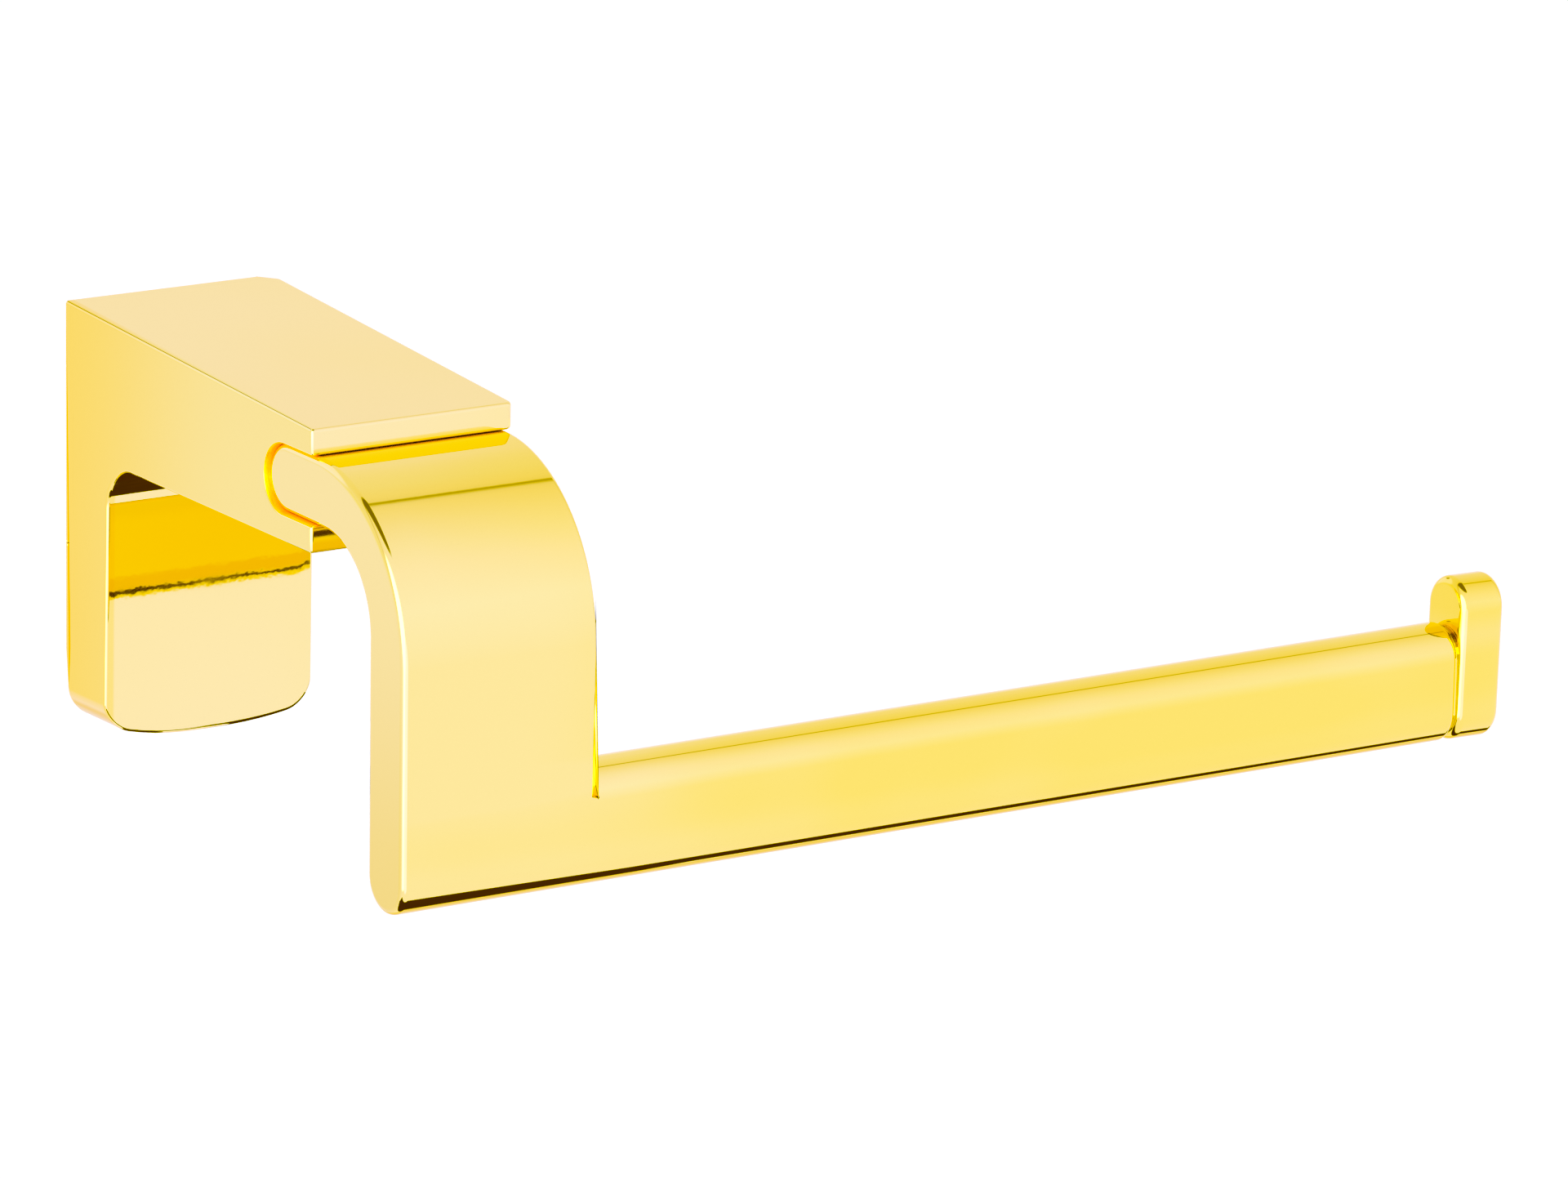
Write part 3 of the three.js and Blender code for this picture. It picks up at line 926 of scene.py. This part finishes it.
# Painted light in the forging's gold: a drift along X, a gradient on its left side and level
# stripes of painted reflection.
bar_tones = {
    "pale": "#FEE68C", "deep": "#FEE27D", "stretch": (-20 * MM, 66 * MM),
    "side": ("#FCE99A", "#F4DA88", "Z", 16 * MM, -36 * MM),
    "side_start": side_margin + strap_left, "peel_depth": 0.001 * MM,
    # Painted reflections: paler and deeper level stripes on the bar's round section.
    "painted_reflection_bands": [
        (arm_foot + 4 * MM, 3 * MM, -0.1),
        (arm_foot + 8.2 * MM, 4 * MM, 0.1),
        (arm_foot + 14 * MM, 3 * MM, -0.4),
    ],
}
bar_gold = gold_plating("gold_plated_forging", **bar_tones)
bend_gold = gold_plating("gold_plated_inner_bend", **bar_tones, polish=(0.10, 0.18))
bracket_piece.data.materials.append(cast_gold)
arm_piece.data.materials.append(bar_gold)
arm_piece.data.materials.append(bend_gold)
stop_piece.data.materials.append(bar_gold)
collar_piece.data.materials.append(bend_gold)
print("nodes in the forging's gold:", len(bar_gold.node_tree.nodes))

# %% [markdown]
# The slot's walls keep the satin of the casting under the plating, so they and the steels below
# share a function: one noise of grains varies the tone and the roughness, and gives a bump.

# %% Satin metals
grain_range = (0.3, 0.7)


def satin_metal(name, light, dark, grain, detail, polish, depth):
    """A satin metal whose tone and roughness vary in grains of the given size."""
    material, tree = new_material(name)
    place = add_node(tree, "ShaderNodeTexCoord").outputs["Object"]
    grains = add_node(
        tree, "ShaderNodeTexNoise",
        values={"Scale": 1 / grain, "Detail": detail}, links={"Vector": place},
    ).outputs["Fac"]
    colour = add_node(
        tree, "ShaderNodeMix", COLOURS, {"A": linear(light), "B": linear(dark)},
        {"Factor": grains},
    )
    roughness = add_node(
        tree, "ShaderNodeMapRange",
        values={
            "From Min": grain_range[0], "From Max": grain_range[1],
            "To Min": polish[0], "To Max": polish[1],
        },
        links={"Value": grains},
    )
    bump = add_node(
        tree, "ShaderNodeBump", values={"Strength": 0.5, "Distance": depth},
        links={"Height": grains},
    )
    return material, tree, place, (
        colour.outputs["Result"], roughness.outputs["Result"], bump.outputs["Normal"]
    )


# %% [markdown]
# Light goes on bouncing in the narrow gap around the strap for longer than a renderer follows
# it, and each bounce off gold makes it more orange. A faint orange glow at the left end of the
# slot's walls gives that light back.

# %% Gold in the slot
glow_start = strap_left + 1.2 * MM
glow_full = strap_left + 0.2 * MM

slot_gold, tree, place, surface = satin_metal(
    "gold_plated_slot_wall", "#FFD452", "#FBC840", 0.8 * MM, 2.0, (0.28, 0.42), 0.01 * MM
)
axes = add_node(tree, "ShaderNodeSeparateXYZ", links={"Vector": place}).outputs
left_end = add_node(
    tree, "ShaderNodeMapRange", SMOOTH,
    {"From Min": glow_start, "From Max": glow_full}, {"Value": axes["X"]},
)
metal(tree, *surface, glow="#B86800", glow_strength=left_end.outputs["Result"])
bracket_piece.data.materials.append(slot_gold)
print("on the bracket:", [m.name for m in bracket_piece.data.materials])

# %% [markdown]
# ## Steels
#
# The wall plate is pressed from zinc-plated sheet, with the faint spangle of its coating. The
# small turned pieces are stainless, and the two cap screws inside are blackened.

# %% Steel finishes
spangle_depth = 0.02 * MM


def steel(name, light, dark, grain, roughest):
    polish = (0.6 * roughest, roughest)
    material, tree, _, surface = satin_metal(
        name, light, dark, grain, 3.0, polish, spangle_depth
    )
    metal(tree, *surface)
    return material


zinc = steel("zinc_plated_steel_sheet", "#D3D6DA", "#B4B8BE", 2.5 * MM, 0.42)
stainless = steel("turned_stainless_steel", "#D2D0CD", "#BDBBB8", 0.6 * MM, 0.32)
blackened = steel("black_oxide_steel", "#3A3A3D", "#232325", 0.8 * MM, 0.45)
screw_piece.data.materials.append(stainless)

finishes = {
    "wall_plate": zinc,
    "arm_screw_left": blackened,
    "arm_screw_right": blackened,
    "arm_washer_left": stainless,
    "arm_washer_right": stainless,
    "end_stop_stud": stainless,
    "end_stop_dowel": stainless,
}
for node, finish in finishes.items():
    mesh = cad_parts[node].data
    mesh.materials.clear()
    mesh.materials.append(finish)
print("finishes set on", len(finishes), "carried-over pieces")

# %% [markdown]
# ## The studio
#
# A polished object shows its surroundings more than itself. Here they are a white light tent,
# painted on the world by direction. Its roof has a dark seam that draws a thin line along each
# rounded top, and each panel warms from cool white in its middle to a straw tint at the seam,
# which is what gives the gold its depth. The tint depends only on how far a direction is turned
# about the X axis, so it is a colour ramp over that angle: 0 is straight up, -90 is level
# towards the front and 90 is level towards the wall.

# %% World: the tent's panels
SEAM = 8

world = bpy.data.worlds.new("light_tent")
bpy.context.scene.world = world
world.use_nodes = True
world_tree = world.node_tree
world_tree.nodes.clear()
direction = add_node(world_tree, "ShaderNodeTexCoord").outputs["Generated"]
axes = add_node(world_tree, "ShaderNodeSeparateXYZ", links={"Vector": direction}).outputs
turn = add_node(
    world_tree, "ShaderNodeMath", {"operation": "ARCTAN2"},
    links={0: axes["Y"], 1: axes["Z"]},
).outputs[0]
around = add_node(
    world_tree, "ShaderNodeMapRange", values={"From Min": -math.pi, "From Max": math.pi},
    links={"Value": turn},
)
tent_tints = [
    (-180, (1.00, 1.00, 1.45)),
    (-109, (1.00, 1.02, 1.45)),
    (SEAM - 100, (1.00, 1.04, 1.55)),
    (SEAM - 78, (1.00, 1.06, 1.65)),
    (SEAM - 50, (1.00, 1.01, 1.52)),
    (SEAM - 35, (0.98, 0.98, 1.40)),
    (SEAM - 21, (0.96, 0.93, 1.28)),
    (SEAM - 5, (0.935, 0.87, 1.10)),
    (SEAM - 1.2, (0.88, 0.81, 1.03)),
    (SEAM - 0.5, (0.42, 0.36, 0.40)),
    (SEAM + 0.5, (0.42, 0.36, 0.40)),
    (SEAM + 1.2, (0.87, 0.80, 0.98)),
    (SEAM + 5, (0.92, 0.85, 1.03)),
    (SEAM + 15, (0.92, 0.88, 1.09)),
    (SEAM + 37, (0.94, 0.90, 1.12)),
    (66, (0.95, 0.90, 0.95)),
    (90, (0.97, 0.93, 1.05)),
    (108, (0.98, 0.95, 1.20)),
    (150, (1.00, 0.97, 1.30)),
    (180, (1.00, 1.00, 1.45)),
]
tent = add_node(world_tree, "ShaderNodeValToRGB", links={"Fac": around.outputs["Result"]})
ramp = tent.color_ramp
while len(ramp.elements) < len(tent_tints):
    ramp.elements.new(0.5)
for element, (angle, tint) in zip(ramp.elements, tent_tints):
    element.position = (angle + 180) / 360
for element, (angle, tint) in zip(ramp.elements, tent_tints):
    element.color = (*tint, 1)
print("tints around the tent:", len(ramp.elements))

# %% [markdown]
# A few things stand out from the panels. A large soft box at the left draws the bright line
# along the strap's left edge, and a strip light in front of it does the same for every upright
# edge. At the back a pale panel with a narrow dim gap in it draws the cream edge between the
# bracket's top and its side, and its grey line. A warm panel hangs low at the back, and the
# rounded edges underneath reflect it as a golden line.

# %% World: what hangs in the tent
def patch(centre, inner, outer):
    """1 within an inner angle of a direction and 0 beyond an outer one, in degrees."""
    toward = add_node(
        world_tree, "ShaderNodeVectorMath", {"operation": "DOT_PRODUCT"},
        {1: Vector(centre).normalized()}, {0: direction},
    )
    rim, core = math.cos(math.radians(outer)), math.cos(math.radians(inner))
    return add_node(
        world_tree, "ShaderNodeMapRange", SMOOTH,
        {"From Min": rim, "From Max": core}, {"Value": toward.outputs["Value"]},
    ).outputs["Result"]


hangings = {
    "pale panel": ((1.0, 1.02, 1.5), patch((-0.36, 0.84, 0.41), 20, 28)),
    "dim gap": ((0.42, 0.34, 0.42), patch((-0.13, 0.82, 0.56), 4, 8)),
    "soft box": ((3.2, 3.2, 3.2), patch((-0.86, -0.48, 0.13), 24, 32)),
    "strip light": ((1.10, 1.20, 2.3), patch((-0.42, -0.865, -0.26), 13, 20)),
    "warm panel": ((0.93, 0.79, 0.75), patch((0.30, 0.62, -0.72), 21, 30)),
}
print("in the tent:", ", ".join(hangings))

# %% [markdown]
# To the left of the seam the front panel is folded open, which gives the upper part of the
# strap's edge a dark wedge that starts at the seam. The fold is where three masks overlap: this
# side of the seam, left of the panel's end, and a round patch of the roof.

# %% World: the open fold
seam_turn = math.radians(SEAM)
seam_blur = 0.01
panel_fades_from, panel_ends_at = 0.42, 0.46

before_seam = add_node(
    world_tree, "ShaderNodeMapRange", SMOOTH,
    {"From Min": seam_turn + seam_blur, "From Max": seam_turn - seam_blur}, {"Value": turn},
)
left_of_panel = add_node(
    world_tree, "ShaderNodeMapRange", SMOOTH,
    {"From Min": panel_ends_at, "From Max": panel_fades_from}, {"Value": axes["X"]},
)
fold = before_seam.outputs["Result"]
for mask in (left_of_panel.outputs["Result"], patch((0.20, 0.12, 0.97), 34, 42)):
    fold = add_node(
        world_tree, "ShaderNodeMath", {"operation": "MULTIPLY"}, links={0: fold, 1: mask}
    ).outputs[0]
dark_fold = ((0.22, 0.17, 0.12), fold)
print("nodes in the tent so far:", len(world_tree.nodes))

# %% [markdown]
# The colours are laid over the tent one after another. Last come the rays that aren't
# reflections: the camera sees plain white behind the holder, and plain white lights the floor.

# %% World: the painted sky
plain_white = (1.04, 1.04, 1.04)

ray = add_node(world_tree, "ShaderNodeLightPath").outputs
layers = [
    dark_fold,
    *hangings.values(),
    (plain_white, ray["Is Camera Ray"]),
    (plain_white, ray["Is Diffuse Ray"]),
]
sky = tent.outputs["Color"]
for colour, mask in layers:
    sky = add_node(
        world_tree, "ShaderNodeMix", COLOURS, {"B": (*colour, 1)}, {"Factor": mask, "A": sky}
    ).outputs["Result"]
background = add_node(world_tree, "ShaderNodeBackground", links={"Color": sky})
add_node(
    world_tree, "ShaderNodeOutputWorld", links={"Surface": background.outputs["Background"]}
)
print("layers over the tent:", len(layers))

# %% [markdown]
# The floor is plain and pale, well below the holder. It is hidden from reflections, because a
# real tent has its hole there.

# %% Floor
floor_height = -250 * MM
floor_half_width = 4


def studio_object(name, bm, material):
    """Makes an object that belongs to the studio and not to the holder."""
    mesh = bpy.data.meshes.new(name)
    bm.to_mesh(mesh)
    bm.free()
    mesh.materials.append(material)
    made = bpy.data.objects.new(name, mesh)
    bpy.context.scene.collection.objects.link(made)
    return made


paper, tree = new_material("matt_white_paper")
shader = add_node(
    tree, "ShaderNodeBsdfPrincipled",
    values={"Base Color": linear("#FAFAFA"), "Roughness": 0.9, "Specular IOR Level": 0.1},
)
add_node(tree, "ShaderNodeOutputMaterial", links={"Surface": shader.outputs["BSDF"]})
floor_bm = bmesh.new()
bmesh.ops.create_grid(floor_bm, x_segments=1, y_segments=1, size=floor_half_width)
bmesh.ops.translate(floor_bm, vec=(0, 0, floor_height), verts=floor_bm.verts)
floor = studio_object("floor", floor_bm, paper)
floor.visible_glossy = False
print("floor lies below the holder, mm:", round((cad_low.z - floor_height) / MM))

# %% [markdown]
# Painted shade: dark brown cards under the holder, which glow faintly with their own colour,
# stand for the shade below it. They are hidden from the camera and reflect as the dark line
# along its underside and the dark corner under the arm. Past the cards the tent's warm panel
# shows, and draws the thin golden line below the dark one. The cards show only in reflections.

# %% Dark cards of painted shade
speckle_size = 4 * MM

# Painted shade: the cards give off a speckled dark brown as their own faint glow.
painted_shade_material, tree = new_material("painted_shade_card")
place = add_node(tree, "ShaderNodeTexCoord").outputs["Object"]
speckle = add_node(
    tree, "ShaderNodeTexNoise",
    values={"Scale": 1 / speckle_size, "Detail": 2.0}, links={"Vector": place},
)
shade = add_node(
    tree, "ShaderNodeMix", COLOURS, {"A": linear("#4E3006"), "B": linear("#3C2404")},
    {"Factor": speckle.outputs["Fac"]},
)
painted_shade_glow = add_node(
    tree, "ShaderNodeEmission", values={"Strength": 1.0}, links={"Color": shade.outputs["Result"]}
)
add_node(tree, "ShaderNodeOutputMaterial", links={"Surface": painted_shade_glow.outputs["Emission"]})


def card(name, height, corners):
    """A flat card of painted shade that shows only in reflections, from its corners in mm."""
    bm = bmesh.new()
    bm.faces.new([bm.verts.new((x * MM, y * MM, height)) for x, y in corners])
    flag = studio_object(name, bm, painted_shade_material)
    flag.visible_camera = False
    flag.visible_diffuse = False
    flag.visible_shadow = False
    print(f"{name}: {len(corners)} corners, {round((arm_foot - height) / MM)} mm under the foot")


# Painted shade under the bar, under the arm and in the corner under the arm.
card(
    "painted_shade_under_bar", arm_foot - 60 * MM,
    [(-90, -64), (58, -58), (64, -65), (205, -59), (205, -73), (55, -91), (25, -112), (-90, -112)],
)
card("painted_shade_under_arm", arm_foot - 3 * MM, [(7, 4), (29, 4), (29, -31), (7, -31)])
card("painted_shade_under_corner", arm_foot - 3 * MM, [(-11, -4), (-3, -4), (-3, -16), (-11, -16)])

# %% [markdown]
# ## Finish
#
# The picture is shown as it is lit, without a film curve, so that the white tent stays white.
# Gold that reflects gold is more orange than a screen can show, and a camera lets its blue drop
# to nothing there. The blue curve does the same: it stays flat near black and meets the
# straight line well below white.

# %% Picture
BLUE = 2

view = bpy.context.scene.view_settings
view.view_transform = "Standard"
view.use_curve_mapping = True
blue_curve = view.curve_mapping.curves[BLUE]
for level_in, level_out in [(0.16, 0.0), (0.26, 0.10), (0.42, 0.40)]:
    blue_curve.points.new(level_in, level_out)
for point in blue_curve.points:
    point.handle_type = "AUTO_CLAMPED"
view.curve_mapping.update()
print("points on the blue curve:", len(blue_curve.points))
